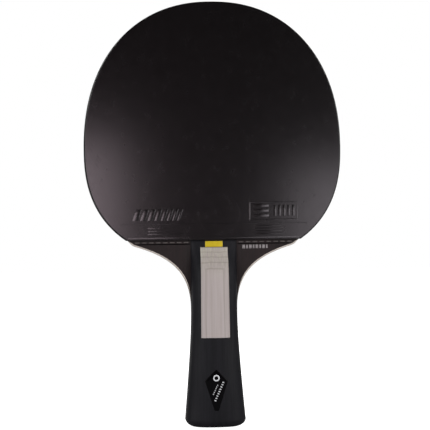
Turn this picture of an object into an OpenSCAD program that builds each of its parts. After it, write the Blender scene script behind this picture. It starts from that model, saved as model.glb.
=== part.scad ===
// Table tennis paddle: five-ply wooden blade, two rubbers, edge tape and a flared handle.
// Z runs along the handle towards the head, X across the blade, Y through its thickness.
// The origin is the middle of the grip, on the middle plane of the blade.  The black
// rubber faces -Y and the red rubber faces +Y.  All sizes are in millimetres.

/* [Overall] */
// handle end to the top of the head
overall_len = 250; // [240:1:265]
// width of the head across the edge tape
head_w = 151.3; // [145:0.1:160]
// handle end to the straight edge of the rubber
handle_len = 109.8; // [95:0.1:120]

/* [Head outline] */
// top of the head down to its widest point
upper_reach = 86.4; // [75:0.1:95]
// widest point down to where the lower curve would close
lower_reach = 66.4; // [55:0.1:75]
// roundness of the upper curve, 2 is an ellipse
upper_fullness = 2.2; // [1.8:0.05:3]
// roundness of the lower curve
lower_fullness = 2.4; // [1.8:0.05:3]

/* [Wings] */
// half-width of the blade at the wing corner
wing_corner_x = 47.6; // [40:0.1:52]
// wing corner below the rubber edge
wing_drop = 3.2; // [1:0.1:6]
// angle at which the wing curve leaves its corner
wing_angle = 16; // [0:1:45]
// pull of the wing curve at its corner
wing_pull = 23; // [5:1:40]
// length of the rounding on each side of the wing corner
corner_ease = 1.6; // [0.5:0.1:3]
// pull of the wing curve at the waist
waist_pull = 22.5; // [5:0.1:40]

/* [Handle] */
// width of the handle at its waist
waist_w = 27; // [24:0.1:32]
// height of the waist above the grip centre
waist_z = 13.6; // [0:0.1:30]
// steepness of the flare below the waist
flare_gain = 0.103; // [0:0.001:0.2]
// length over which the flare builds up
flare_run = 36; // [10:1:80]
// thickness of the handle at its waist
waist_t = 22.4; // [20:0.1:28]
// extra thickness at the handle end
end_extra_t = 1.8; // [0:0.1:5]
// length of the slope from the rubber edge up to full thickness
ramp_len = 21; // [10:0.5:40]
// thickness of each scale where it meets the rubber
ramp_lip = 1.6; // [0.5:0.1:3]
// roundness of the handle section, 2 is an ellipse
section_fullness = 2.4; // [2:0.05:4]
// width of the rounding at each corner of the handle end
end_corner_w = 7.5; // [2:0.1:12]
// height of that rounding
end_corner_h = 4.8; // [2:0.1:12]
// how far the rounding cuts into the thickness of each scale
end_corner_t = 3; // [0.5:0.1:6]

/* [Blade plies] */
// middle ply
core_t = 3.2; // [2:0.1:5]
// each ply laid across the core
cross_t = 0.7; // [0.3:0.05:1.5]
// each stained outer ply
face_t = 0.6; // [0.3:0.05:1.5]

/* [Rubbers] */
// foam under each topsheet
sponge_t = 2.1; // [1:0.1:2.5]
// topsheet with its pips turned inward
topsheet_t = 1.8; // [1:0.1:2.2]
// thickness of the edge tape
tape_t = 0.45; // [0.1:0.05:1]

/* [Handle trim] */
// width of the grey inlay at its upper end
inlay_top_w = 16.2; // [8:0.1:20]
// width of the grey inlay at its lower end
inlay_bottom_w = 17; // [8:0.1:20]
// upper end of the inlay below the rubber edge
inlay_drop = 4.1; // [2:0.1:10]
// length of the grey inlay
inlay_len = 53.3; // [30:0.1:80]
// wood left in the scale under the inlay
inlay_floor = 1.1; // [0.5:0.1:4]
// width of the yellow accent strip
accent_w = 10.4; // [5:0.1:16]
// upper edge of the accent strip below the rubber edge
accent_drop = 0.7; // [0.2:0.1:3]
// depth of the accent strip
accent_depth = 0.7; // [0.3:0.1:1.5]
// upper point of the badge above the handle end
badge_rise = 34.1; // [20:0.1:50]
// length of the kite-shaped badge
badge_len = 24.1; // [10:0.1:40]
// widest place of the badge below its upper point
badge_shoulder = 6.3; // [2:0.1:15]
// width of the badge at its widest place
badge_w = 13.7; // [6:0.1:20]
// width of the badge at its blunt lower tip
badge_tip_w = 2.4; // [0.5:0.1:6]
// depth of the recess that holds the badge
badge_depth = 0.6; // [0.3:0.1:1.5]
// badge surface above the handle surface
badge_proud = 0.25; // [0:0.05:0.6]

/* [Hidden] */
end_z = -handle_len / 2;
rubber_z = handle_len / 2;
top_z = end_z + overall_len;
widest_z = top_z - upper_reach;
waist_half_w = waist_w / 2;

// Distances of the glue planes from the middle of the blade.
core_y = core_t / 2;
cross_y = core_y + cross_t;
blade_y = cross_y + face_t;
sponge_y = blade_y + sponge_t;

inlay_top_z = rubber_z - inlay_drop;
accent_top_z = rubber_z - accent_drop;
badge_top_z = end_z + badge_rise;

// Steps along the curved stretches.
upper_steps = 36;
lower_steps = 20;
corner_steps = 5;
wing_steps = 20;
grip_steps = 20;
ramp_steps = 14;
end_steps = 8;
section_steps = 32;

// Longer than any cut has to reach.
far = 40;

// ------------------------------------------------------------------- outline curves

// Point of the head outline, set in from its outer edge.  The angle runs from 90 at the
// top through 0 at the widest point and below 0 on the lower curve.
function head_point(angle, inset) =
    let (fullness = angle < 0 ? lower_fullness : upper_fullness,
         reach = angle < 0 ? lower_reach : upper_reach,
         across = pow(cos(angle), 2 / fullness),
         up = sign(angle) * pow(abs(sin(angle)), 2 / fullness))
    [(head_w / 2 - inset) * across, widest_z + (reach - inset) * up];

// Angle at which the lower curve comes down to the height z.
function lower_angle(z, inset) =
    -asin(pow((widest_z - z) / (lower_reach - inset), lower_fullness / 2));

// Right half of the head outline from its top down to the height z.
function head_side(z, inset) =
    let (last = lower_angle(z, inset))
    concat([for (i = [0:upper_steps - 1]) head_point(90 - 90 * i / upper_steps, inset)],
           [for (i = [0:lower_steps]) head_point(last * i / lower_steps, inset)]);

function cubic(p, t) =
    pow(1 - t, 3) * p[0] + 3 * pow(1 - t, 2) * t * p[1]
    + 3 * (1 - t) * pow(t, 2) * p[2] + pow(t, 3) * p[3];

function quadratic(p, t) =
    pow(1 - t, 2) * p[0] + 2 * (1 - t) * t * p[1] + pow(t, 2) * p[2];

// The wing sweeps from its corner into the straight waist of the handle.
wing_corner = [wing_corner_x, rubber_z - wing_drop];
wing_curve = [wing_corner,
              wing_corner - wing_pull * [cos(wing_angle), sin(wing_angle)],
              [waist_half_w, waist_z + waist_pull],
              [waist_half_w, waist_z]];
first_wing_t = corner_ease / (3 * wing_pull);
wing_side = [for (i = [1:wing_steps])
                 cubic(wing_curve, first_wing_t + (1 - first_wing_t) * i / wing_steps)];

// The rim runs straight from the rubber edge towards the wing corner, which a short
// curve rounds off.
rim_end = head_point(lower_angle(rubber_z, tape_t), tape_t);
rim_run = rim_end - wing_corner;
corner_curve = [wing_corner + rim_run * corner_ease / norm(rim_run),
                wing_corner,
                cubic(wing_curve, first_wing_t)];
corner_side = [for (i = [0:corner_steps]) quadratic(corner_curve, i / corner_steps)];

// How much the rounded corner of the handle end takes off at the height z, from 0 to 1.
function end_rounding(z) =
    let (below = max(0, end_z + end_corner_h - z) / end_corner_h)
    1 - sqrt(max(0, 1 - below * below));

// Half-width of the handle at the height z, its waist running straight up to the rubber.
function handle_half_w(z) =
    let (below = max(0, waist_z - z))
    waist_half_w + flare_gain * below * below / (below + flare_run)
    - end_corner_w * end_rounding(z);

// Height of a handle scale above the blade face at the height z.
function scale_height(z) =
    let (full = waist_t / 2 - blade_y
                + end_extra_t / 2 * max(0, waist_z - z) / (waist_z - end_z),
         climb = min(1, (rubber_z - z) / ramp_len),
         eased = climb * climb * (3 - 2 * climb))
    ramp_lip + (full - ramp_lip) * eased - end_corner_t * end_rounding(z);

// Heights of the handle sections: the rounded end from the bottom up, then the grip.
end_levels = [for (i = [0:end_steps]) end_z + end_corner_h * (1 - cos(90 * i / end_steps))];
grip_levels = [for (i = [1:grip_steps])
                   end_z + end_corner_h
                   + (waist_z - end_z - end_corner_h) * i / grip_steps];
ramp_levels = concat([rubber_z - ramp_len],
                     [for (i = [1:ramp_steps]) rubber_z - ramp_len * (1 - i / ramp_steps)]);

// Right side of the handle below the waist, from the waist down to the end.
grip_side = [for (i = [grip_steps - 2:-1:0]) [handle_half_w(grip_levels[i]), grip_levels[i]]];
end_side = [for (i = [end_steps:-1:0]) [handle_half_w(end_levels[i]), end_levels[i]]];

blade_side = concat(head_side(rubber_z, tape_t), corner_side, wing_side,
                    grip_side, end_side);

// Left half of an outline, going back up; the shared point on the axis is left out.
function mirrored(side) =
    [for (i = [len(side) - 1:-1:0]) if (abs(side[i].x) > 0.001) [-side[i].x, side[i].y]];

module symmetric_outline(side) polygon(concat(side, mirrored(side)));

// ------------------------------------------------------------------- building helpers

// A flat sheet in the plane of the blade, from y_low to y_low + thickness.
module sheet(y_low, thickness)
    translate([0, y_low + thickness, 0])
        rotate([90, 0, 0])
            linear_extrude(thickness)
                children();

// Everything on the handle and both rubbers is built facing +Y; the front copy is turned.
module facing(front)
    rotate([0, 0, front ? 180 : 0])
        children();

module blade_outline() symmetric_outline(blade_side);

// Outline of a rubber: the head cut off straight at the rubber edge.
module rubber_outline(inset) symmetric_outline(head_side(rubber_z, inset));

// ------------------------------------------------------------------- handle sections

// Half-oval section of a scale standing on the blade face.
function scale_section(z) =
    [for (i = [0:section_steps])
        let (angle = 180 * i / section_steps,
             across = sign(cos(angle)) * pow(abs(cos(angle)), 2 / section_fullness),
             out = pow(sin(angle), 2 / section_fullness))
        [handle_half_w(z) * across, blade_y + scale_height(z) * out, z]];

// Solid lofted through the sections at the given heights, lowest first.
module loft(levels) {
    ring = section_steps + 1;
    points = [for (z = levels) each scale_section(z)];
    last = len(levels) - 1;
    bottom = [for (i = [0:ring - 1]) i];
    top = [for (i = [ring - 1:-1:0]) last * ring + i];
    curved = [for (j = [0:last - 1], i = [0:ring - 2])
                 let (a = j * ring + i, b = a + 1, c = a + ring, d = c + 1)
                 each [[a, c, b], [b, c, d]]];
    flat = [for (j = [0:last - 1])
               let (a = j * ring, b = a + ring - 1, c = a + ring, d = c + ring - 1)
               each [[a, b, c], [b, d, c]]];
    polyhedron(points, concat([bottom, top], curved, flat));
}

module scale_blank() loft(concat(end_levels, grip_levels, ramp_levels));

// Prism through the scale in the thickness direction.
module cutter(y_low) sheet(y_low, far) children();

// The part of a cutter that lies less than depth under the surface of the scale.
module recess(depth)
    difference() {
        cutter(blade_y) children();
        translate([0, -depth, 0]) scale_blank();
    }

module inlay_shape()
    polygon([[-inlay_top_w / 2, inlay_top_z],
             [inlay_top_w / 2, inlay_top_z],
             [inlay_bottom_w / 2, inlay_top_z - inlay_len],
             [-inlay_bottom_w / 2, inlay_top_z - inlay_len]]);

module accent_shape()
    translate([-accent_w / 2, inlay_top_z])
        square([accent_w, accent_top_z - inlay_top_z]);

module badge_shape()
    polygon([[0, badge_top_z],
             [badge_w / 2, badge_top_z - badge_shoulder],
             [badge_tip_w / 2, badge_top_z - badge_len],
             [-badge_tip_w / 2, badge_top_z - badge_len],
             [-badge_w / 2, badge_top_z - badge_shoulder]]);

// ------------------------------------------------------------------- blade

module core_ply()
    color("burlywood") sheet(-core_y, core_t) blade_outline();

module cross_ply(front)
    color("peru") facing(front) sheet(core_y, cross_t) blade_outline();

module face_ply(front)
    color([0.19, 0.16, 0.16]) facing(front) sheet(cross_y, face_t) blade_outline();

// ------------------------------------------------------------------- rubbers and tape

module sponge(front)
    color([0.12, 0.12, 0.13])
        facing(front) sheet(blade_y, sponge_t) rubber_outline(tape_t);

module topsheet(front)
    color(front ? [0.1, 0.1, 0.1] : [0.72, 0.07, 0.08])
        facing(front) sheet(sponge_y, topsheet_t) rubber_outline(tape_t);

// Band round the edge of the blade and of both sponges, open at the handle.
module edge_tape()
    color([0.05, 0.05, 0.06])
        sheet(-sponge_y, 2 * sponge_y)
            difference() {
                rubber_outline(0);
                rubber_outline(tape_t);
            }

// ------------------------------------------------------------------- handle

module scale(front)
    color([0.14, 0.15, 0.16])
        facing(front)
            difference() {
                scale_blank();
                cutter(blade_y + inlay_floor) inlay_shape();
                recess(accent_depth) accent_shape();
                recess(badge_depth) badge_shape();
            }

module inlay(front)
    color([0.67, 0.63, 0.62])
        facing(front)
            intersection() {
                scale_blank();
                cutter(blade_y + inlay_floor) inlay_shape();
            }

module accent(front)
    color([0.83, 0.73, 0.2])
        facing(front)
            intersection() {
                scale_blank();
                recess(accent_depth) accent_shape();
            }

module badge(front)
    color([0.03, 0.03, 0.04])
        facing(front)
            intersection() {
                translate([0, badge_proud, 0]) scale_blank();
                recess(badge_depth) badge_shape();
            }

// ------------------------------------------------------------------- nodes

core_ply();
cross_ply(true);  // front_cross_ply
cross_ply(false);  // back_cross_ply
face_ply(true);  // front_face_ply
face_ply(false);  // back_face_ply
sponge(true);  // front_sponge
sponge(false);  // back_sponge
topsheet(true);  // front_topsheet
topsheet(false);  // back_topsheet
edge_tape();
scale(true);  // front_scale
scale(false);  // back_scale
inlay(true);  // front_inlay
inlay(false);  // back_inlay
accent(true);  // front_accent
accent(false);  // back_accent
badge(true);  // front_badge
badge(false);  // back_badge
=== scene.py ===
import math

import bmesh
import bpy
import numpy as np
from mathutils import Matrix, Vector


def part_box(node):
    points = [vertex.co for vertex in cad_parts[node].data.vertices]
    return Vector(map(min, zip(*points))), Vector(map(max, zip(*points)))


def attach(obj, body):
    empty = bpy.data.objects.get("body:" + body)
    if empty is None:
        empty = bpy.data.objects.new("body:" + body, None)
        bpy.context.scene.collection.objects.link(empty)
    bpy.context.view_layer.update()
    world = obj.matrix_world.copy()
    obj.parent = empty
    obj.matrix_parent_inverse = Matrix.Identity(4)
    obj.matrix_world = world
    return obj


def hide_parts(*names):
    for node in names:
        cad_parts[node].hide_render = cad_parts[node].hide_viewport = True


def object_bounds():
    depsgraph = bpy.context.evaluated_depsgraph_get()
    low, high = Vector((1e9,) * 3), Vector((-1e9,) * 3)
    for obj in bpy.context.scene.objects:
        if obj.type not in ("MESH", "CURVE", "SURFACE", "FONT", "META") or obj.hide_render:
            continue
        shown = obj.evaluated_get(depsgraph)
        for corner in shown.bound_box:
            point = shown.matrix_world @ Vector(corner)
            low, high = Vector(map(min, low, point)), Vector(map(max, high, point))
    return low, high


# A table tennis paddle: veneered blade, two rubbers, edge tape and a flared handle.
# X runs across the blade, +Z from the handle to the head, and -Y out of the black side.
# Sizes are the CAD part's, in millimetres; the materials and the stage are in metres.

MM = 0.001
FRONT, BACK = -1, 1
SIDES = ((FRONT, "front"), (BACK, "back"))

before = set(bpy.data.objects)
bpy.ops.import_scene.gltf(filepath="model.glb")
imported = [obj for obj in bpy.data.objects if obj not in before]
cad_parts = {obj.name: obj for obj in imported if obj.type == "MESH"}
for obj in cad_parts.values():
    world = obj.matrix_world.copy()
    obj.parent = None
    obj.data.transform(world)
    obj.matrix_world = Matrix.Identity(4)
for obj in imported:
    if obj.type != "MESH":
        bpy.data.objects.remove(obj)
cad_low, cad_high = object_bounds()


def cad_box(node):
    """Lowest and highest corner of a CAD node, in millimetres."""
    low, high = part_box(node)
    return np.array(low) / MM, np.array(high) / MM


blade_low, blade_high = cad_box("core_ply")
face_low, face_high = cad_box("back_face_ply")
sponge_low, sponge_high = cad_box("back_sponge")
sheet_high = cad_box("back_topsheet")[1]
tape_high = cad_box("edge_tape")[1]

# Distances of the layers' outer faces from the middle of the blade.
CORE_Y = blade_high[1]
CROSS_Y = face_low[1]
BLADE_Y = face_high[1]
SPONGE_Y = sponge_high[1]
SHEET_Y = sheet_high[1]

# Heights of the handle's end, the rubber's straight edge and the top of the head.
END_Z = blade_low[2]
RUBBER_Z = sponge_low[2]
TOP_Z = tape_high[2]

HEAD_HALF_W = tape_high[0]
TAPE_T = tape_high[0] - blade_high[0]

# Shape of the outline, as in the CAD part.
UPPER_REACH = 86.4
LOWER_REACH = 66.4
UPPER_FULLNESS = 2.2
LOWER_FULLNESS = 2.4
WIDEST_Z = TOP_Z - UPPER_REACH
WING_CORNER = np.array([47.6, RUBBER_Z - 3.2])
WING_ANGLE = math.radians(16)
WING_PULL = 23.0
WAIST_PULL = 22.5
CORNER_EASE = 1.6
WAIST_HALF_W = 13.5
WAIST_Z = 13.6
FLARE_GAIN = 0.103
FLARE_RUN = 36.0
END_CORNER_W = 7.5
END_CORNER_H = 4.8
END_CORNER_T = 3.0

# Handle scales and their trim, as in the CAD part.
WAIST_HALF_T = 11.2
END_EXTRA_T = 0.9
RAMP_LEN = 21.0
RAMP_LIP = 1.6
SECTION_FULLNESS = 2.4
INLAY_TOP_Z = RUBBER_Z - 4.1
INLAY_LEN = 53.3
INLAY_TOP_HALF_W = 8.1
INLAY_BOTTOM_HALF_W = 8.5
ACCENT_TOP_Z = RUBBER_Z - 0.7
ACCENT_HALF_W = 5.2
BADGE_TOP_Z = END_Z + 34.1
BADGE_LEN = 24.1
BADGE_SHOULDER = 6.3
BADGE_HALF_W = 6.85
BADGE_TIP_HALF_W = 1.2
BADGE_PROUD = 0.25

# The pips under the rubber sheets stand on a staggered grid.
PIP_R = 0.85
PIP_PITCH = 2.2
PIP_ROW_GAP = PIP_PITCH * math.sqrt(3) / 2
FIRST_PIP_ROW = 1.3


# ---------------------------------------------------------------------------- outlines


def head_curve(upper):
    """Fullness and reach of the head's curve above or below its widest line."""
    if upper:
        return UPPER_FULLNESS, UPPER_REACH
    return LOWER_FULLNESS, LOWER_REACH


def head_point(angle, inset):
    """Point of the head outline; the angle runs from a right angle at the top to below 0."""
    fullness, reach = head_curve(angle >= 0)
    across = max(0.0, math.cos(angle)) ** (2 / fullness)
    up = math.copysign(abs(math.sin(angle)) ** (2 / fullness), angle)
    return ((HEAD_HALF_W - inset) * across, WIDEST_Z + (reach - inset) * up)


def lower_angle(z, inset):
    """Angle at which the lower curve of the head comes down to the height z."""
    return -math.asin(((WIDEST_Z - z) / (LOWER_REACH - inset)) ** (LOWER_FULLNESS / 2))


def head_side(z, inset, upper_steps=96, lower_steps=56):
    """Right side of the head from its top down to the height z."""
    last = lower_angle(z, inset)
    upper = [head_point(math.pi / 2 * (1 - i / upper_steps), inset) for i in range(upper_steps)]
    lower = [head_point(last * i / lower_steps, inset) for i in range(lower_steps + 1)]
    return upper + lower


def bezier(points, t):
    """Point of a Bezier curve of any degree."""
    points = [np.array(p, float) for p in points]
    while len(points) > 1:
        points = [(1 - t) * a + t * b for a, b in zip(points, points[1:])]
    return tuple(points[0])


def towards(start, end, distance):
    """Point at a distance from the start on the way to the end."""
    run = end - start
    return start + run * distance / np.linalg.norm(run)


def circle(x, z, radius, count):
    """Points of a circle in the plane of the blade."""
    turns = [math.tau * k / count for k in range(count)]
    return [(x + radius * math.cos(turn), z + radius * math.sin(turn)) for turn in turns]


def end_rounding(z):
    """Share of the corner that the rounded handle end takes off, from 0 to 1."""
    below = max(0.0, END_Z + END_CORNER_H - z) / END_CORNER_H
    return 1 - math.sqrt(max(0.0, 1 - below * below))


def handle_half_w(z):
    """Half-width of the handle, its waist running straight up to the rubber."""
    below = max(0.0, WAIST_Z - z)
    flare = FLARE_GAIN * below * below / (below + FLARE_RUN)
    return WAIST_HALF_W + flare - END_CORNER_W * end_rounding(z)


def scale_height(z):
    """Height of a handle scale above the blade face."""
    full = WAIST_HALF_T - BLADE_Y + END_EXTRA_T * max(0.0, WAIST_Z - z) / (WAIST_Z - END_Z)
    climb = min(1.0, (RUBBER_Z - z) / RAMP_LEN)
    eased = climb * climb * (3 - 2 * climb)
    return RAMP_LIP + (full - RAMP_LIP) * eased - END_CORNER_T * end_rounding(z)


def end_levels(steps):
    """Heights through the rounded handle end, closest together at the bottom."""
    turns = (math.pi / 2 * i / steps for i in range(steps + 1))
    return [END_Z + END_CORNER_H * (1 - math.cos(turn)) for turn in turns]


def corner_and_wing(rim_end, corner_steps=8, wing_steps=48):
    """Straight rim below the rubber, the eased wing corner and the wing down to the waist."""
    wing = [
        WING_CORNER,
        WING_CORNER - WING_PULL * np.array([math.cos(WING_ANGLE), math.sin(WING_ANGLE)]),
        (WAIST_HALF_W, WAIST_Z + WAIST_PULL),
        (WAIST_HALF_W, WAIST_Z),
    ]
    first = CORNER_EASE / (3 * WING_PULL)
    corner = [towards(WING_CORNER, rim_end, CORNER_EASE), WING_CORNER, bezier(wing, first)]
    side = [bezier(corner, i / corner_steps) for i in range(corner_steps + 1)]
    for i in range(1, wing_steps + 1):
        side.append(bezier(wing, first + (1 - first) * i / wing_steps))
    return side


def blade_side(grip_steps=40, end_steps=14):
    """Right side of the whole blade from the top of the head to the handle end."""
    side = head_side(RUBBER_Z, TAPE_T)
    side += corner_and_wing(np.array(side[-1]))
    levels = list(np.linspace(WAIST_Z, END_Z + END_CORNER_H, grip_steps + 1)[1:-1])
    levels += reversed(end_levels(end_steps))
    side += [(handle_half_w(z), z) for z in levels]
    return side


def closed(side):
    """Whole outline from its right side, clockwise, as an array."""
    left = [(-x, z) for x, z in reversed(side) if abs(x) > 0.001]
    return np.array(side + left, float)


def side_normals(steps):
    """Unit normals of the sides of a clockwise outline."""
    steps = steps / np.linalg.norm(steps, axis=1, keepdims=True)
    return np.stack([-steps[:, 1], steps[:, 0]], 1)


def outward(outline):
    """Outward direction at each point, long enough to keep straight sides parallel."""
    before = side_normals(outline - np.roll(outline, 1, 0))
    after = side_normals(np.roll(outline, -1, 0) - outline)
    middle = before + after
    middle /= np.linalg.norm(middle, axis=1, keepdims=True)
    sharpest = 0.4
    return middle / np.maximum(sharpest, np.sum(middle * before, 1))[:, None]


# ---------------------------------------------------------------------------- meshes


class Shell:
    """Collects points in millimetres and faces, and makes one mesh object of them."""

    def __init__(self):
        self.points, self.faces, self.kinds = [], [], []

    def add_points(self, points):
        """Adds points and returns the number of the first."""
        first = len(self.points)
        self.points.extend(tuple(p) for p in points)
        return first

    def add_face(self, corners, kind=0):
        """Adds a face; its kind is the number of its material."""
        self.faces.append(tuple(corners))
        self.kinds.append(kind)

    def add_band(self, low, high, count, kind=0):
        """Adds the faces between two rings, given the numbers of their first points."""
        for i in range(count):
            j = (i + 1) % count
            self.add_face((low + i, low + j, high + j, high + i), kind)

    def rings(self, rings, side_kind=0):
        """Closed skin through rings of equal length; the end rings are filled in."""
        count = len(rings[0])
        starts = [self.add_points(ring) for ring in rings]
        for low, high in zip(starts, starts[1:]):
            self.add_band(low, high, count, side_kind)
        self.add_face([starts[0] + i for i in reversed(range(count))])
        self.add_face([starts[-1] + i for i in range(count)])

    def loops(self, loops):
        """Skin through closed loops of points, the last loop joined to the first."""
        count = len(loops[0])
        starts = [self.add_points(loop) for loop in loops]
        for low, high in zip(starts, starts[1:] + starts[:1]):
            self.add_band(low, high, count)

    def build(self, name, materials, smooth_angle=35.0, side=BACK, seen=False):
        """Makes the mesh.  Everything is drawn facing +Y, and side FRONT turns it round.

        Marks are drawn as they are seen, with +X on the viewer's right, and seen is True.
        Faces with more than four corners are flat ends, and stay flat in the shading.
        """
        turn = np.array([-1.0, -1.0, 1.0]) if side == FRONT else np.ones(3)
        if seen:
            turn[0] = -turn[0]
        points = np.array(self.points, float) * turn * MM
        mesh = bpy.data.meshes.new(name)
        mesh.from_pydata(points.tolist(), [], self.faces)
        for material in materials:
            mesh.materials.append(material)
        mesh.polygons.foreach_set("material_index", self.kinds)
        face_outward(mesh)
        shade(mesh, smooth_angle)
        return in_scene(name, mesh)


def face_outward(mesh):
    """Turns all faces outward, splits the flat ends and marks the rest as smooth."""
    work = bmesh.new()
    work.from_mesh(mesh)
    bmesh.ops.recalc_face_normals(work, faces=work.faces)
    for face in work.faces:
        face.smooth = len(face.verts) == 4
    ends = [face for face in work.faces if len(face.verts) > 4]
    bmesh.ops.triangulate(work, faces=ends)
    work.to_mesh(mesh)
    work.free()


def shade(mesh, smooth_angle):
    """Makes edges over the angle sharp, and keeps flat ends flat."""
    smooth = [face.use_smooth for face in mesh.polygons]
    mesh.set_sharp_from_angle(angle=math.radians(smooth_angle))
    mesh.polygons.foreach_set("use_smooth", smooth)


def in_scene(name, data):
    """New object in the scene for a mesh, a light or a camera."""
    made = bpy.data.objects.new(name, data)
    bpy.context.scene.collection.objects.link(made)
    return made


def at_depth(outline, y):
    """Outline points as 3-D points at the depth y."""
    return [(x, y, z) for x, z in outline]


def keep(piece, slot, *nodes):
    """Fixes a finished piece to the frame, in place of the CAD nodes it stands for."""
    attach(piece, "root")
    if nodes:
        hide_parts(*nodes)


# ---------------------------------------------------------------------------- materials


class Paint:
    """A material with one Principled shader, and short calls that add nodes to it."""

    def __init__(self, name):
        self.material = bpy.data.materials.new(name)
        self.material.use_nodes = True
        self.tree = self.material.node_tree
        self.shader = self.tree.nodes["Principled BSDF"]
        self.place = self.node("ShaderNodeTexCoord").outputs["Object"]

    def node(self, kind, inputs=None, **settings):
        """Adds a node, with values or other nodes' outputs for its inputs."""
        made = self.tree.nodes.new(kind)
        for key, value in settings.items():
            setattr(made, key, value)
        for key, value in (inputs or {}).items():
            self.feed(made.inputs[key], value)
        return made

    def feed(self, socket, value):
        """Sets a socket to a value, or links another node's output to it."""
        if isinstance(value, bpy.types.NodeSocket):
            self.tree.links.new(value, socket)
        else:
            socket.default_value = value

    def scaled(self, x, y, z):
        """Object coordinates stretched: larger numbers make a finer pattern."""
        inputs = {"Vector": self.place, "Scale": (x, y, z)}
        return self.node("ShaderNodeMapping", inputs).outputs["Vector"]

    def noise(self, where, detail=3.0, rough=0.5, distortion=0.0):
        """Soft random pattern, about 0.5 on average."""
        inputs = {
            "Vector": where,
            "Scale": 1.0,
            "Detail": detail,
            "Roughness": rough,
            "Distortion": distortion,
        }
        return self.node("ShaderNodeTexNoise", inputs).outputs["Fac"]

    def cells(self, where):
        """Pattern of random cells: the distance to the nearest cell's centre."""
        inputs = {"Vector": where, "Scale": 1.0}
        return self.node("ShaderNodeTexVoronoi", inputs).outputs["Distance"]

    def math(self, operation, a, b=0.0):
        """Result of a sum on one or two values."""
        return self.node("ShaderNodeMath", {0: a, 1: b}, operation=operation).outputs[0]

    def wave(self, kind, value, length):
        """Sine or cosine of a value, with the given wavelength."""
        return self.math(kind, self.math("MULTIPLY", value, math.tau / length))

    def mixed(self, first, second, share):
        """Weighted sum of two values, with the given share of the first."""
        rest = self.math("MULTIPLY", second, 1 - share)
        return self.math("ADD", self.math("MULTIPLY", first, share), rest)

    def span(self, value, low, high, to_low=0.0, to_high=1.0):
        """Value mapped from one range to another, clamped."""
        inputs = {0: value, 1: low, 2: high, 3: to_low, 4: to_high}
        return self.node("ShaderNodeMapRange", inputs).outputs["Result"]

    def part(self, axis):
        """One coordinate of the place, in metres."""
        made = self.node("ShaderNodeSeparateXYZ", {0: self.place})
        return made.outputs["XYZ".index(axis)]

    def blend(self, share, first, second):
        """Colour between two colours."""
        made = self.node("ShaderNodeMix", data_type="RGBA")
        self.feed(made.inputs["Factor"], share)
        sockets = [socket for socket in made.inputs if socket.type == "RGBA"]
        for socket, colour in zip(sockets, (first, second)):
            if not isinstance(colour, bpy.types.NodeSocket):
                colour = (*colour, 1.0)
            self.feed(socket, colour)
        return [socket for socket in made.outputs if socket.type == "RGBA"][0]

    def bump(self, height, distance, strength=1.0, below=None):
        """Normal of a surface roughened by the height, on top of the one below if given."""
        inputs = {"Height": height, "Distance": distance, "Strength": strength}
        if below is not None:
            inputs["Normal"] = below
        return self.node("ShaderNodeBump", inputs).outputs["Normal"]

    def finish(self, colour, roughness, normal=None, constants=None):
        """Connects the shader and returns the finished material."""
        self.feed(self.shader.inputs["Base Color"], colour)
        self.feed(self.shader.inputs["Roughness"], roughness)
        if normal is not None:
            self.feed(self.shader.inputs["Normal"], normal)
        for key, value in (constants or {}).items():
            self.shader.inputs[key].default_value = value
        return self.material


def rubber_paint(name, dark, light):
    """Smooth satin rubber: faint mottling, fine grain and the ghost of the pips below."""
    paint = Paint(name)
    mottle = paint.noise(paint.scaled(35, 35, 35), detail=4.0)
    grain = paint.noise(paint.scaled(1500, 1500, 1500), detail=2.0)
    handled = paint.noise(paint.scaled(240, 240, 200), detail=5.0, rough=0.65)
    roughness = paint.span(handled, 0.3, 0.7, 0.23, 0.28)
    pip_z = paint.math("SUBTRACT", paint.part("Z"), (RUBBER_Z + FIRST_PIP_ROW) * MM)
    waves_x = paint.wave("COSINE", paint.part("X"), PIP_PITCH * MM)
    waves_z = paint.wave("COSINE", pip_z, 2 * PIP_ROW_GAP * MM)
    normal = paint.bump(paint.math("MULTIPLY", waves_x, waves_z), 0.0000022)
    normal = paint.bump(grain, 0.000005, 0.5, normal)
    satin = {"Specular IOR Level": 0.15}
    return paint.finish(paint.blend(mottle, dark, light), roughness, normal, satin)


def sponge_paint(name):
    """Dense foam with open pores."""
    paint = Paint(name)
    pores = paint.cells(paint.scaled(2400, 2400, 2400))
    mottle = paint.noise(paint.scaled(300, 300, 300))
    colour = paint.blend(paint.span(pores, 0.1, 0.5), (0.008, 0.008, 0.01), (0.03, 0.03, 0.034))
    normal = paint.bump(pores, 0.0002, 0.8)
    return paint.finish(colour, paint.span(mottle, 0.3, 0.7, 0.8, 0.95), normal)


def tape_paint(name):
    """Fine woven edge tape."""
    paint = Paint(name)
    thread = 0.0006
    threads_round_head = 800
    head_middle_z = 0.11
    across = paint.wave("SINE", paint.part("Y"), thread)
    up = paint.math("SUBTRACT", paint.part("Z"), head_middle_z)
    turn = paint.math("ARCTAN2", paint.part("X"), up)
    along = paint.wave("SINE", turn, math.tau / threads_round_head)
    weave = paint.math("MULTIPLY", across, along)
    worn = paint.noise(paint.scaled(120, 120, 120), detail=4.0)
    colour = paint.blend(worn, (0.0022, 0.0022, 0.0026), (0.005, 0.005, 0.006))
    normal = paint.bump(weave, 0.00004)
    dull = {"Specular IOR Level": 0.08}
    return paint.finish(colour, paint.span(worn, 0.3, 0.7, 0.5, 0.66), normal, dull)


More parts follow.
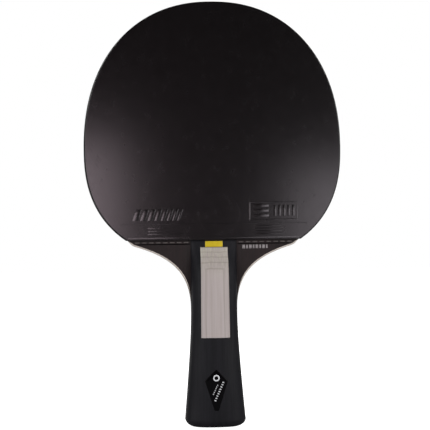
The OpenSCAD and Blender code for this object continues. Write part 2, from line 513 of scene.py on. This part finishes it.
def veneer_paint(name):
    """Dark stained face veneer with fine open grain along the handle."""
    paint = Paint(name)
    streaks = paint.noise(paint.scaled(900, 200, 22), detail=4.0, rough=0.6)
    bands = paint.noise(paint.scaled(110, 60, 6), detail=3.0, distortion=0.6)
    pores = paint.noise(paint.scaled(3500, 900, 130), detail=1.0)
    grain = paint.span(paint.mixed(streaks, bands, 0.6), 0.36, 0.64)
    colour = paint.blend(grain, (0.0044, 0.0019, 0.0022), (0.0120, 0.0060, 0.0064))
    normal = paint.bump(paint.span(pores, 0.3, 0.5), 0.00004, 0.7)
    dull = {"Specular IOR Level": 0.2}
    return paint.finish(colour, paint.span(streaks, 0.3, 0.7, 0.55, 0.66), normal, dull)


def edge_wood_paint(name, pale, deep, dyed):
    """Sanded ply edge, bare along the wings and dyed dark along the handle."""
    paint = Paint(name)
    dyed_z, bare_z = 0.022, 0.034
    fibres = paint.noise(paint.scaled(700, 2500, 60), detail=4.0, rough=0.6)
    bands = paint.noise(paint.scaled(60, 500, 12), detail=2.0)
    bare = paint.blend(paint.span(paint.mixed(fibres, bands, 0.6), 0.3, 0.7), deep, pale)
    ragged_z = paint.math("ADD", paint.part("Z"), paint.math("MULTIPLY", bands, 0.008))
    colour = paint.blend(paint.span(ragged_z, dyed_z, bare_z), dyed, bare)
    normal = paint.bump(fibres, 0.00005, 0.7)
    return paint.finish(colour, paint.span(fibres, 0.3, 0.7, 0.55, 0.7), normal)


def handle_paint(name):
    """Blue-black dyed and lacquered handle wood."""
    paint = Paint(name)
    streaks = paint.noise(paint.scaled(1100, 1100, 26), detail=4.0, rough=0.6)
    bands = paint.noise(paint.scaled(160, 160, 9), detail=2.0)
    rubbed = paint.noise(paint.scaled(70, 70, 40), detail=4.0)
    grain = paint.span(paint.mixed(streaks, bands, 0.5), 0.35, 0.65)
    colour = paint.blend(grain, (0.0015, 0.0014, 0.0026), (0.0067, 0.0061, 0.0086))
    normal = paint.bump(streaks, 0.00003, 0.6)
    dull = {"Specular IOR Level": 0.15}
    return paint.finish(colour, paint.span(rubbed, 0.3, 0.7, 0.58, 0.68), normal, dull)


def contour_lines(paint):
    """Strength of the lines where the shaped surface cuts the layers of laminated wood."""
    layers_on_ramp = 5.0
    layers_at_side = 0.5
    ramp_low_z, ramp_high_z = 0.0350, 0.0515
    side_x = 0.0054
    wander = paint.noise(paint.scaled(170, 170, 26), detail=3.0)
    climb = paint.span(paint.part("Z"), ramp_low_z, ramp_high_z)
    ramp = paint.math("POWER", climb, 1.35)
    out = paint.math("DIVIDE", paint.math("ABSOLUTE", paint.part("X")), side_x)
    side = paint.math("MULTIPLY", paint.math("POWER", out, 3.0), layers_at_side)
    rise = paint.math("MAXIMUM", paint.math("MULTIPLY", ramp, layers_on_ramp), side)
    level = paint.math("ADD", rise, paint.math("MULTIPLY", wander, 0.5))
    off_line = paint.math("ABSOLUTE", paint.math("SUBTRACT", paint.math("FRACT", level), 0.75))
    return paint.span(off_line, 0.0, 0.15, 0.5, 0.0)


def inlay_paint(name):
    """Pinkish grey laminated wood; the shaped surface cuts its layers as contour lines.

    The lines lie across the ramp at the top and turn down along the two sides.
    """
    paint = Paint(name)
    line = contour_lines(paint)
    fibres = paint.noise(paint.scaled(1500, 600, 30), detail=5.0, rough=0.65)
    bands = paint.noise(paint.scaled(260, 200, 7), detail=3.0)
    slope = paint.span(paint.part("Z"), 0.030, 0.050)
    base = paint.blend(slope, (0.308, 0.272, 0.266), (0.356, 0.344, 0.275))
    fine = paint.blend(paint.span(fibres, 0.35, 0.65), (0.270, 0.228, 0.220), base)
    wide = paint.blend(paint.span(bands, 0.3, 0.7, 0.0, 0.35), fine, (0.37, 0.325, 0.318))
    colour = paint.blend(line, wide, (0.17, 0.14, 0.125))
    normal = paint.bump(fibres, 0.00003, 0.6)
    dull = {"Specular IOR Level": 0.3}
    return paint.finish(colour, paint.span(fibres, 0.3, 0.7, 0.45, 0.58), normal, dull)


def accent_paint(name):
    """Satin yellow strip with a faint brushed streak."""
    paint = Paint(name)
    streaks = paint.noise(paint.scaled(900, 200, 60), detail=3.0)
    colour = paint.blend(streaks, (0.37, 0.265, 0.006), (0.46, 0.345, 0.014))
    normal = paint.bump(streaks, 0.00002, 0.5)
    dull = {"Specular IOR Level": 0.25}
    return paint.finish(colour, paint.span(streaks, 0.3, 0.7, 0.38, 0.5), normal, dull)


def badge_paint(name):
    """Gloss black label under a clear resin dome."""
    paint = Paint(name)
    haze = paint.noise(paint.scaled(500, 500, 500), detail=4.0)
    wave = paint.noise(paint.scaled(140, 140, 140), detail=1.0)
    colour = paint.blend(haze, (0.0008, 0.0007, 0.0009), (0.0016, 0.0014, 0.0018))
    normal = paint.bump(wave, 0.00002, 0.5)
    resin = {"Specular IOR Level": 0.03, "Coat Weight": 0.05, "Coat Roughness": 0.05}
    return paint.finish(colour, paint.span(haze, 0.3, 0.7, 0.10, 0.20), normal, resin)


def ink_paint(name, dark, light, rough=0.5, shine=0.3):
    """Thin screen-printed ink, slightly uneven."""
    paint = Paint(name)
    grain = paint.noise(paint.scaled(1800, 1800, 1800), detail=3.0)
    colour = paint.blend(paint.span(grain, 0.35, 0.6), dark, light)
    normal = paint.bump(grain, 0.00001, 0.5)
    roughness = paint.span(grain, 0.3, 0.7, rough - 0.06, rough + 0.06)
    return paint.finish(colour, roughness, normal, {"Specular IOR Level": shine})


def floor_paint(name):
    """Pale seamless studio floor, bright enough to vanish into the backdrop."""
    paint = Paint(name)
    speckle = paint.noise(paint.scaled(3, 3, 3), detail=2.0)
    colour = paint.blend(speckle, (0.78, 0.78, 0.78), (0.82, 0.82, 0.82))
    material = paint.finish(colour, 0.9, None, {"Specular IOR Level": 0.1})
    seen = paint.node("ShaderNodeLightPath").outputs["Is Camera Ray"]
    paint.feed(paint.shader.inputs["Emission Color"], (1.0, 1.0, 1.0, 1.0))
    paint.feed(paint.shader.inputs["Emission Strength"], seen)
    return material


BLACK_RUBBER = rubber_paint("black_rubber", (0.0012, 0.0009, 0.0010), (0.0016, 0.0012, 0.0013))
RED_RUBBER = rubber_paint("red_rubber", (0.42, 0.014, 0.016), (0.50, 0.022, 0.022))
SPONGE = sponge_paint("sponge")
TAPE = tape_paint("edge_tape")
VENEER = veneer_paint("stained_veneer")
FACE_EDGE = edge_wood_paint(
    "face_ply_edge", (0.46, 0.41, 0.372), (0.33, 0.29, 0.26), (0.008, 0.007, 0.007)
)
CROSS_EDGE = edge_wood_paint(
    "cross_ply_edge", (0.15, 0.118, 0.092), (0.10, 0.076, 0.058), (0.007, 0.006, 0.006)
)
CORE_EDGE = edge_wood_paint(
    "core_ply_edge", (0.25, 0.20, 0.155), (0.18, 0.14, 0.105), (0.010, 0.009, 0.009)
)
HANDLE = handle_paint("handle_wood")
INLAY = inlay_paint("inlay_wood")
ACCENT = accent_paint("accent_yellow")
BADGE = badge_paint("badge_black")
WING_INK = ink_paint("wing_ink", (0.10, 0.085, 0.088), (0.22, 0.20, 0.205))
DASH_INK = ink_paint("dash_ink", (0.055, 0.045, 0.044), (0.11, 0.095, 0.092))
LINE_INK = ink_paint("line_ink", (0.0008, 0.0007, 0.0007), (0.0018, 0.0015, 0.0015), 0.7, 0.02)
BADGE_INK = ink_paint("badge_ink", (0.35, 0.35, 0.36), (0.55, 0.55, 0.57), 0.35)

RUBBER_LOOKS = {
    FRONT: (BLACK_RUBBER, "black_rubber"),
    BACK: (RED_RUBBER, "red_rubber"),
}


# ---------------------------------------------------------------------------- blade

# The wings' edges are rounded by sanding; the rounding fades out at the rubber and the grip.
ROUNDING_W = 0.9
ROUNDING_T = 1.2
RUBBER_FADE = 2.0
GRIP_FADE = 18.0
GRIP_TOP_Z = WAIST_Z + 2.4


def wing_share(z):
    """How much of the sanded rounding a point has: all on the wings, none on the grip."""
    below_rubber = min(1.0, max(0.0, (RUBBER_Z - z) / RUBBER_FADE))
    above_grip = min(1.0, max(0.0, (z - GRIP_TOP_Z) / GRIP_FADE))
    return below_rubber * above_grip


def rounding(y):
    """How far the sanded edge is set in at the depth y."""
    into = max(0.0, abs(y) - (BLADE_Y - ROUNDING_T)) / ROUNDING_T
    return ROUNDING_W * (1 - math.sqrt(max(0.0, 1 - into * into)))


BLADE = closed(blade_side())
BLADE_OUT = outward(BLADE)
BLADE_SHARE = np.array([wing_share(z) for x, z in BLADE])[:, None]


def ply(node, slot, depths, looks, side=BACK):
    """One ply, its edge following the rounding of the blade's wings."""
    shell = Shell()
    rings = [at_depth(BLADE - BLADE_OUT * BLADE_SHARE * rounding(y), y) for y in depths]
    shell.rings(rings, side_kind=1)
    keep(shell.build(f"{node}_body", looks, side=side), slot, node)


ply("core_ply", "core_wood", np.linspace(-CORE_Y, CORE_Y, 9), [CORE_EDGE, CORE_EDGE])
for side, word in SIDES:
    cross_depths = np.linspace(CORE_Y, CROSS_Y, 4)
    face_depths = np.linspace(CROSS_Y, BLADE_Y, 7)
    ply(f"{word}_cross_ply", "cross_wood", cross_depths, [CROSS_EDGE, CROSS_EDGE], side)
    ply(f"{word}_face_ply", "stained_wood", face_depths, [VENEER, FACE_EDGE], side)


# ---------------------------------------------------------------------------- rubbers

SHEET_T = 0.9
SHEET_LOW = SHEET_Y - SHEET_T
EDGE_SOFT = 0.5

# Only the pips in a zone along the edge can be seen; the sheet is solid inside the zone.
PIP_ZONE = 4.5
PIP_SIDES = 10
PIP_SET_IN = 0.05

RUBBER = closed(head_side(RUBBER_Z, TAPE_T))
RUBBER_OUT = outward(RUBBER)

# The outline has no points along its straight edge, so distances are taken to these too.
STRAIGHT_EDGE = [(x, RUBBER_Z) for x in np.linspace(-50, 50, 400)]
RUBBER_EDGE = np.concatenate([RUBBER, STRAIGHT_EDGE])


def soft_sheet(shell, outline, out, y_low, y_high, soft, steps=4):
    """Sheet whose upper edge is rounded over a little."""
    rings = [at_depth(outline, y_low)]
    for i in range(steps + 1):
        turn = math.pi / 2 * i / steps
        inset = soft * (1 - math.cos(turn))
        rings.append(at_depth(outline - out * inset, y_high - soft * (1 - math.sin(turn))))
    shell.rings(rings)


def near_edge(point):
    """Distance from a point inside the rubber to its edge."""
    return np.min(np.linalg.norm(RUBBER_EDGE - point, axis=1))


def inside_rubber(point):
    """Whether a point lies within the rubber's outline."""
    x, z = abs(point[0]), point[1]
    if not RUBBER_Z < z < TOP_Z - TAPE_T:
        return False
    fullness, reach = head_curve(z > WIDEST_Z)
    up = abs(z - WIDEST_Z) / (reach - TAPE_T)
    across = x / (HEAD_HALF_W - TAPE_T)
    return across**fullness + up**fullness < 1


def pip_places():
    """Centres of the pips that can be seen at the edge, on a staggered grid."""
    edge_gap = 0.1
    rows = int((TOP_Z - RUBBER_Z) / PIP_ROW_GAP) + 1
    columns = int(HEAD_HALF_W / PIP_PITCH) + 1
    places = []
    for row in range(rows):
        z = RUBBER_Z + FIRST_PIP_ROW + row * PIP_ROW_GAP
        shift = PIP_PITCH / 2 * (row % 2)
        for column in range(-columns, columns + 1):
            point = np.array([column * PIP_PITCH + shift, z])
            if inside_rubber(point) and PIP_R + edge_gap < near_edge(point) < PIP_ZONE:
                places.append(point)
    return places


PIPS = pip_places()


def pip(shell, x, z):
    """One pip: a tapered peg that spreads where it joins the sheet."""
    levels = (
        (SPONGE_Y, 0.9 * PIP_R),
        (SHEET_LOW - 0.15, PIP_R),
        (SHEET_LOW + PIP_SET_IN, 1.15 * PIP_R),
    )
    shell.rings([at_depth(circle(x, z, radius, PIP_SIDES), y) for y, radius in levels])


def topsheet(word, side, material, slot):
    """Rubber sheet with its row of pips showing between it and the sponge."""
    shell = Shell()
    soft_sheet(shell, RUBBER, RUBBER_OUT, SHEET_LOW, SHEET_Y, EDGE_SOFT)
    solid = RUBBER - RUBBER_OUT * (PIP_ZONE - 0.6)
    shell.rings([at_depth(solid, SPONGE_Y), at_depth(solid, SHEET_LOW + PIP_SET_IN)])
    for x, z in PIPS:
        pip(shell, x, z)
    piece = shell.build(f"{word}_topsheet_body", [material], side=side)
    keep(piece, slot, f"{word}_topsheet")


def sponge(word, side, steps=6):
    """Foam layer under the topsheet, its cut edge slightly soft and uneven."""
    set_in = 0.12
    bulge = 0.10
    unevenness = 0.03
    x, z = RUBBER.T
    rings = []
    for i in range(steps + 1):
        share = i / steps
        uneven = unevenness * np.sin(2.1 * x + 9 * share) * np.sin(1.7 * z)
        shift = bulge * math.sin(math.pi * share) - set_in + uneven
        y = BLADE_Y + (SPONGE_Y - BLADE_Y) * share
        rings.append(at_depth(RUBBER + RUBBER_OUT * shift[:, None], y))
    shell = Shell()
    shell.rings(rings)
    piece = shell.build(f"{word}_sponge_body", [SPONGE], side=side)
    keep(piece, "sponge", f"{word}_sponge")


def tape():
    """Edge tape: a thin band with soft edges that runs round the head."""
    side = head_side(RUBBER_Z, TAPE_T)
    inner = closed(side)
    outer = closed(head_side(RUBBER_Z, 0.0))
    # Half of the section: how far out each point is, and how far from the middle.
    half = [(0.0, 1.0), (0.7, 1.0), (0.92, 0.985), (1.0, 0.95), (1.0, 0.5)]
    section = [(out, -y) for out, y in half] + [(1.0, 0.0)] + half[::-1]
    rings = []
    for k in np.roll(range(len(inner)), -len(side)):
        ring = []
        for out, y in section:
            x, z = inner[k] + (outer[k] - inner[k]) * out
            ring.append((x, y * SPONGE_Y, z))
        rings.append(ring)
    shell = Shell()
    shell.rings(rings)
    keep(shell.build("edge_tape_band", [TAPE]), "edge_tape", "edge_tape")


for side, word in SIDES:
    topsheet(word, side, *RUBBER_LOOKS[side])
    sponge(word, side)
tape()


# ---------------------------------------------------------------------------- marks

# Moulded marks stand up from the rubber, printed ones lie on the wood.
RELIEF_H = 0.12
FAINT_H = RELIEF_H / 5
RELIEF_SET_IN = 0.05
INK_T = 0.02


def slab(shell, corners, y_low, y_high, soft):
    """Low raised shape with sloping sides."""
    outline = np.array(corners, float)
    after = np.roll(outline, -1, 0)
    if np.sum(outline[:, 0] * after[:, 1] - after[:, 0] * outline[:, 1]) > 0:
        outline = outline[::-1]
    top = outline - outward(outline) * soft
    shell.rings([at_depth(outline, y_low), at_depth(top, y_high)])


def bar(shell, x0, x1, z0, z1, y_low, y_high, lean=0.0, soft=0.05):
    """Raised bar; lean shifts its upper edge sideways."""
    corners = [(x0, z0), (x1, z0), (x1 + lean, z1), (x0 + lean, z1)]
    slab(shell, corners, y_low, y_high, soft)


def frame_ridge(shell, x0, x1, z0, z1, width, y_low, y_high):
    """Rectangular outline: one closed ridge with sloping sides and mitred corners."""
    loops = []
    for share, y in ((0.0, y_low), (0.4, y_high), (0.6, y_high), (1.0, y_low)):
        inset = share * width
        left, right, low, high = x0 + inset, x1 - inset, z0 + inset, z1 - inset
        corners = [(left, low), (right, low), (right, high), (left, high)]
        loops.append(at_depth(corners, y))
    shell.loops(loops)


def ring_ridge(shell, x, z, radius, width, y_low, y_high, soft, count=72):
    """Raised plain ring."""
    levels = (
        (radius, y_low),
        (radius - soft, y_high),
        (radius - width + soft, y_high),
        (radius - width, y_low),
    )
    shell.loops([at_depth(circle(x, z, r, count), y) for r, y in levels])


def slanting_stripes(shell, z, low, high):
    """Run of slanting stripes on the left, wide to narrow."""
    x = -48.0
    height, gap = 7.0, 1.0
    for k in range(8):
        width = 3.6 - 0.28 * k
        bar(shell, x, x + width, z, z + height, low, high, lean=2.2, soft=0.35)
        x += width + gap


def divided_frame(shell, z, low, high):
    """Frame on the right with three lying and five standing plain bars in it."""
    left, right, height, ridge_w = 20.8, 49.6, 11.2, 0.9
    frame_ridge(shell, left, right, z, z + height, ridge_w, low, high)
    for k in range(3):
        bar_z = z + 2.0 + 2.9 * k
        bar(shell, left + 2.4, left + 11.8, bar_z, bar_z + 2.0, low, high, soft=0.4)
    for k in range(5):
        x = left + 14.4 + 2.7 * k
        bar(shell, x, x + 1.8, z + 2.4, z + 9.2, low, high, soft=0.4)


def fine_lines(shell, z, low, high, faint):
    """Fine lines: four equal ones on the right, three fainter stepped ones on the left."""
    for k in range(4):
        line_z = z + 1.6 * k
        bar(shell, 23.6, 40.4, line_z, line_z + 0.8, low, high, soft=0.3)
    for k in range(3):
        line_z = z + 0.2 + 1.7 * k
        line_end = -16.5 - 2.5 * k
        bar(shell, -39.0, line_end, line_z, line_z + 1.0, low, faint, soft=0.3)


def rubber_relief(word, side, material, slot):
    """Plain moulded marks near the rubber's straight edge, raised out of its surface."""
    low = SHEET_Y - RELIEF_SET_IN
    high = SHEET_Y + RELIEF_H
    faint = SHEET_Y + FAINT_H
    ring_x, ring_z, ring_r, ring_w = 3.0, RUBBER_Z + 15.2, 12.6, 1.2
    shell = Shell()
    # One ridge close to the edge and a finer one farther in, both almost the full width.
    bar(shell, -50.6, 50.6, RUBBER_Z + 0.9, RUBBER_Z + 1.9, low, high, soft=0.4)
    bar(shell, -55.2, 55.2, RUBBER_Z + 9.3, RUBBER_Z + 9.9, low, high, soft=0.25)
    slanting_stripes(shell, RUBBER_Z + 11.4, low, high)
    ring_ridge(shell, ring_x, ring_z, ring_r, ring_w, low, faint, 0.5)
    divided_frame(shell, RUBBER_Z + 11.2, low, high)
    fine_lines(shell, RUBBER_Z + 3.0, low, high, faint)
    keep(shell.build(f"{word}_rubber_relief", [material], side=side, seen=True), slot)


def keep_print(shell, name, ink, side):
    """Makes a printed mark on the wood."""
    keep(shell.build(name, [ink], side=side, seen=True), "stained_wood")


def wing_prints(word, side):
    """Printed dashes and lines along the rubber, and plain blocks on one wing."""
    low, high, soft = BLADE_Y - INK_T, BLADE_Y + INK_T, 0.03
    dash_z, line_z, block_z = RUBBER_Z - 1.6, RUBBER_Z - 2.7, RUBBER_Z - 5.3

    dashes = Shell()
    dash_len, dash_pitch = 2.7, 4.1
    for k in range(8):
        x = 14.9 + dash_pitch * k
        for start in (x, -x - dash_len):
            bar(dashes, start, start + dash_len, dash_z, dash_z + 0.5, low, high, soft=soft)
    keep_print(dashes, f"{word}_wing_dashes", DASH_INK, side)

    lines = Shell()
    inner_x, outer_x = 13.9, 44.6
    for start, end in ((-outer_x, -inner_x), (inner_x, outer_x)):
        bar(lines, start, end, line_z, line_z + 0.6, low, high, soft=soft)
    keep_print(lines, f"{word}_wing_lines", LINE_INK, side)

    blocks = Shell()
    x, gap = 17.0, 0.65
    for k in range(8):
        width = 1.6 if k % 2 == 0 else 1.0
        bar(blocks, x, x + width, block_z, block_z + 2.2, low, high, soft=soft)
        x += width + gap
    keep_print(blocks, f"{word}_wing_blocks", WING_INK, side)


for side, word in SIDES:
    rubber_relief(word, side, *RUBBER_LOOKS[side])
    wing_prints(word, side)


# ---------------------------------------------------------------------------- handle

# Trim pieces lie in the handle's surface and stand a little proud of it.
INLAY_PROUD, INLAY_DEPTH, INLAY_SOFT = 0.03, 0.8, 0.12
ACCENT_PROUD, ACCENT_DEPTH, ACCENT_SOFT = 0.05, 0.5, 0.10
BADGE_DEPTH = 0.4
BADGE_EASE = 0.5
MARK_H = 0.12
MARK_PROUD = BADGE_PROUD + 0.02


def surface(x, z, lift=0.0):
    """Point of the scale's outer surface above the place (x, z), raised by lift."""
    half_w = handle_half_w(z)
    share = min(0.999, abs(x) / half_w)
    out = (1 - share**SECTION_FULLNESS) ** (1 / SECTION_FULLNESS)
    return (x, BLADE_Y + scale_height(z) * out + lift, z)


def scale_section(z, steps=72):
    """Half-oval section of a scale standing on the blade face."""
    ring = []
    for i in range(steps + 1):
        angle = math.pi * i / steps
        across = math.copysign(abs(math.cos(angle)) ** (2 / SECTION_FULLNESS), math.cos(angle))
        out = max(0.0, math.sin(angle)) ** (2 / SECTION_FULLNESS)
        ring.append((handle_half_w(z) * across, BLADE_Y + scale_height(z) * out, z))
    return ring


def scale(word, side):
    """Handle half in fine sections, its upper end eased where it meets the rubber."""
    ease_z, top_z = RUBBER_Z - 0.35, RUBBER_Z - 0.05
    narrower, flatter = 0.985, 0.86
    grip_low = END_Z + END_CORNER_H
    levels = end_levels(16)
    levels += [grip_low + 1.5 * k for k in range(1, 41)]
    levels += list(np.linspace(levels[-1] + 1.2, ease_z, 44))
    rings = [scale_section(z) for z in levels]
    rings.append([(narrower * x, BLADE_Y + flatter * (y - BLADE_Y), top_z) for x, y, z in rings[-1]])
    shell = Shell()
    shell.rings(rings)
    keep(shell.build(f"{word}_scale_body", [HANDLE], 40.0, side), "handle_wood", f"{word}_scale")


def eased_heights(heights, soft):
    """Heights from the bottom up, each with the drop of the soft ends there."""
    low, high = heights[0], heights[-1]
    middle = [(z, 0.0) for z in heights if low + soft <= z <= high - soft]
    lower = [(low, soft), (low + 0.3 * soft, 0.3 * soft)]
    upper = [(high - 0.3 * soft, 0.3 * soft), (high, soft)]
    return lower + middle + upper


def eased_row(half_w, soft, steps):
    """Places across a trim piece, each with the drop of the soft sides there."""
    edge = min(half_w - soft, 0.999 * half_w)
    middle = [(edge * (2 * k / steps - 1), 0.0) for k in range(steps + 1)]
    return [(-half_w, soft)] + middle + [(half_w, soft)]


def patch(heights, half_w_at, proud, depth, soft, steps):
    """Trim laid into the scale: a skin that follows its surface, with soft edges.

    The heights run from the bottom up, and half_w_at gives the half-width at a height.
    """
    rings = []
    for z, drop_z in eased_heights(heights, soft):
        row = eased_row(half_w_at(z), soft, steps)
        upper = [surface(x, z, proud - max(drop_x, drop_z)) for x, drop_x in row]
        lower = [surface(x, z, -depth) for x, drop_x in reversed(row)]
        rings.append(upper + lower)
    shell = Shell()
    shell.rings(rings)
    return shell


def inlay_half_w(z):
    """The inlay widens slightly towards its lower end."""
    share = (INLAY_TOP_Z - z) / INLAY_LEN
    return INLAY_TOP_HALF_W + (INLAY_BOTTOM_HALF_W - INLAY_TOP_HALF_W) * share


def inlay(word, side):
    """Laminated wood inlay down the middle of the scale."""
    heights = np.linspace(INLAY_TOP_Z - INLAY_LEN, INLAY_TOP_Z, 72)
    shell = patch(heights, inlay_half_w, INLAY_PROUD, INLAY_DEPTH, INLAY_SOFT, 32)
    keep(shell.build(f"{word}_inlay_body", [INLAY], 50.0, side), "inlay_wood", f"{word}_inlay")


def accent(word, side):
    """Yellow strip above the inlay."""
    heights = np.linspace(INLAY_TOP_Z, ACCENT_TOP_Z, 12)
    shell = patch(
        heights, lambda z: ACCENT_HALF_W, ACCENT_PROUD, ACCENT_DEPTH, ACCENT_SOFT, 16
    )
    piece = shell.build(f"{word}_accent_body", [ACCENT], 50.0, side)
    keep(piece, "accent_yellow", f"{word}_accent")


def badge_outline(corner_steps=4, side_steps=10):
    """Kite outline of the badge with small eased corners."""
    shoulder_z = BADGE_TOP_Z - BADGE_SHOULDER
    low_z = BADGE_TOP_Z - BADGE_LEN
    corners = np.array([
        (0.0, BADGE_TOP_Z),
        (BADGE_HALF_W, shoulder_z),
        (BADGE_TIP_HALF_W, low_z),
        (-BADGE_TIP_HALF_W, low_z),
        (-BADGE_HALF_W, shoulder_z),
    ])
    outline = []
    for corner, before, after in zip(corners, np.roll(corners, 1, 0), np.roll(corners, -1, 0)):
        start = towards(corner, before, BADGE_EASE)
        end = towards(corner, after, BADGE_EASE)
        next_start = towards(after, corner, BADGE_EASE)
        outline += [bezier([start, corner, end], k / corner_steps) for k in range(corner_steps + 1)]
        outline += [bezier([end, next_start], k / side_steps) for k in range(1, side_steps)]
    return np.array(outline)


def badge(word, side):
    """Domed kite badge: rings of its outline rise from the handle to a gentle crown."""
    outline = badge_outline()
    crown_drop = 1.5
    centre = np.array([0.0, BADGE_TOP_Z - BADGE_SHOULDER - crown_drop])
    # Each ring's share of the full outline, and its share of the dome's height.
    dome = (
        (1.0, 0.0), (0.985, 0.40), (0.955, 0.68), (0.9, 0.82),
        (0.75, 0.90), (0.5, 0.96), (0.25, 1.0), (0.06, 1.0),
    )
    rings = [[surface(x, z, -BADGE_DEPTH) for x, z in outline]]
    for share, rise in dome:
        ring = centre + (outline - centre) * share
        rings.append([surface(x, z, rise * BADGE_PROUD) for x, z in ring])
    shell = Shell()
    shell.rings(rings)
    piece = shell.build(f"{word}_badge_dome", [BADGE], 60.0, side)
    keep(piece, "badge_black", f"{word}_badge")


def badge_ring(shell, x, z, radius, inner_radius, count=40):
    """Plain flat ring on the badge."""
    low, high = MARK_PROUD - MARK_H, MARK_PROUD
    loops = []
    for r, lift in ((radius, low), (radius, high), (inner_radius, high), (inner_radius, low)):
        loops.append([surface(*place, lift) for place in circle(x, z, r, count)])
    shell.loops(loops)


def badge_row(shell, x, drop, count, pitch, width):
    """Row of plain blocks slanting up to the right; drop is its start below the badge's top."""
    slant = math.radians(24.6)
    filled = 0.44
    lifts = (MARK_PROUD - MARK_H, MARK_PROUD)
    along = np.array([math.sin(slant), math.cos(slant)])
    across = np.array([math.cos(slant), -math.sin(slant)])
    run = along * pitch * filled
    half = across * width / 2
    for k in range(count):
        spot = np.array([x, BADGE_TOP_Z - drop]) + along * pitch * k
        corners = [spot - half, spot + half, spot + half + run, spot - half + run]
        shell.rings([[surface(*corner, lift) for corner in corners] for lift in lifts])


def badge_marks(word, side):
    """A plain ring near the badge's point and two slanting rows of plain blocks."""
    shell = Shell()
    badge_ring(shell, 0.0, BADGE_TOP_Z - 5.0, 1.9, 1.15)
    badge_row(shell, x=-0.9, drop=18.4, count=9, pitch=1.45, width=1.1)
    badge_row(shell, x=-1.9, drop=14.6, count=6, pitch=1.15, width=0.6)
    piece = shell.build(f"{word}_badge_marks", [BADGE_INK], side=side, seen=True)
    keep(piece, "badge_black")


for side, word in SIDES:
    scale(word, side)
    inlay(word, side)
    accent(word, side)
    badge(word, side)
    badge_marks(word, side)


# ---------------------------------------------------------------------------- stage

WORLD_LIGHT = 0.10
FLOOR_GAP = 0.2
FLOOR_RADIUS = 3.0
WHITE = (1.0, 1.0, 1.0)


def surroundings():
    """Surroundings that give little light and look white to the camera."""
    world = bpy.data.worlds.new("studio")
    bpy.context.scene.world = world
    world.use_nodes = True
    tree = world.node_tree
    seen = tree.nodes.new("ShaderNodeLightPath").outputs["Is Camera Ray"]
    spread = tree.nodes.new("ShaderNodeMapRange")
    spread.inputs["To Min"].default_value = WORLD_LIGHT
    spread.inputs["To Max"].default_value = 1.0
    tree.links.new(seen, spread.inputs["Value"])
    tree.links.new(spread.outputs["Result"], tree.nodes["Background"].inputs["Strength"])
    tree.nodes["Background"].inputs["Color"].default_value = (*WHITE, 1.0)


def studio_floor(sides=64):
    """Round pale floor just below the handle end."""
    level = (END_Z - FLOOR_GAP) * MM
    rim = [(x, y, level) for x, y in circle(0.0, 0.0, FLOOR_RADIUS, sides)]
    mesh = bpy.data.meshes.new("floor")
    mesh.from_pydata(rim, [], [tuple(range(sides))])
    mesh.materials.append(floor_paint("floor"))
    floor = in_scene("floor", mesh)


def area_light(name, place, target, size, power, colour=WHITE):
    """Soft box that the camera doesn't see."""
    data = bpy.data.lights.new(name, "AREA")
    data.shape = "RECTANGLE"
    data.size, data.size_y = size
    data.energy = power
    data.color = colour
    lamp = in_scene(name, data)
    lamp.location = place
    lamp.rotation_mode = "QUATERNION"
    lamp.rotation_quaternion = (Vector(target) - Vector(place)).to_track_quat("-Z", "Y")
    lamp.visible_camera = False
    return lamp


def studio_lights():
    """Two keys in front, two lamps behind, and two sheens for the black rubber alone."""
    key_size = (0.5, 0.7)
    key_target = (0, 0, 0.02)
    area_light("key_left", (-0.58, -0.60, 0.05), key_target, key_size, 7.8)
    area_light("key_right", (0.58, -0.60, 0.05), key_target, key_size, 7.8)

    sheen_size = (0.12, 0.14)
    left_place, left_target = (-0.112, -0.20, 0.051), (-0.10, 0, 0.051)
    right_place, right_target = (0.132, -0.20, 0.032), (0.11, 0, 0.032)
    sheens = (
        area_light("sheen_left", left_place, left_target, sheen_size, 0.76, (1.0, 0.82, 0.90)),
        area_light("sheen_right", right_place, right_target, sheen_size, 0.53, (1.0, 0.91, 0.98)),
    )

    back_size = (0.5, 0.5)
    back_target = (0, 0, 0.07)
    area_light("back_left", (-0.6, 0.8, 0.5), back_target, back_size, 6.0)
    area_light("back_right", (0.6, 0.8, 0.4), back_target, back_size, 5.0)

    rubber_only = bpy.data.collections.new("rubber_only")
    for name in ("front_topsheet_body", "front_rubber_relief"):
        rubber_only.objects.link(bpy.data.objects[name])
    for lamp in sheens:
        lamp.light_linking.receiver_collection = rubber_only


surroundings()
studio_floor()
studio_lights()


# ---------------------------------------------------------------------------- camera

LENS = 150.0
SENSOR_W = 36.0
AZIMUTH, ELEVATION, ROLL = -4.5, 0.0, 0.7
FRAMED_HEIGHT = 0.2540
SIDE_STEP = 0.00125
UP_STEP = -0.0006


def camera():
    """Long lens facing the black side, a little from the left and a little tilted."""
    azimuth, elevation = math.radians(AZIMUTH), math.radians(ELEVATION)
    back = Vector((
        math.sin(azimuth) * math.cos(elevation),
        -math.cos(azimuth) * math.cos(elevation),
        math.sin(elevation),
    ))
    level = (-back).to_track_quat("-Z", "Y")
    tilt = Matrix.Rotation(math.radians(-ROLL), 3, "Z").to_quaternion()
    centre = (cad_low + cad_high) / 2
    distance = FRAMED_HEIGHT * LENS / SENSOR_W

    data = bpy.data.cameras.new("camera")
    data.lens = LENS
    data.sensor_width = SENSOR_W
    eye = in_scene("camera", data)
    eye.rotation_mode = "QUATERNION"
    eye.rotation_quaternion = level @ tilt
    eye.location = centre + back * distance + level @ Vector((SIDE_STEP, UP_STEP, 0.0))
    bpy.context.scene.camera = eye


camera()
bpy.context.scene.view_settings.view_transform = "Standard"
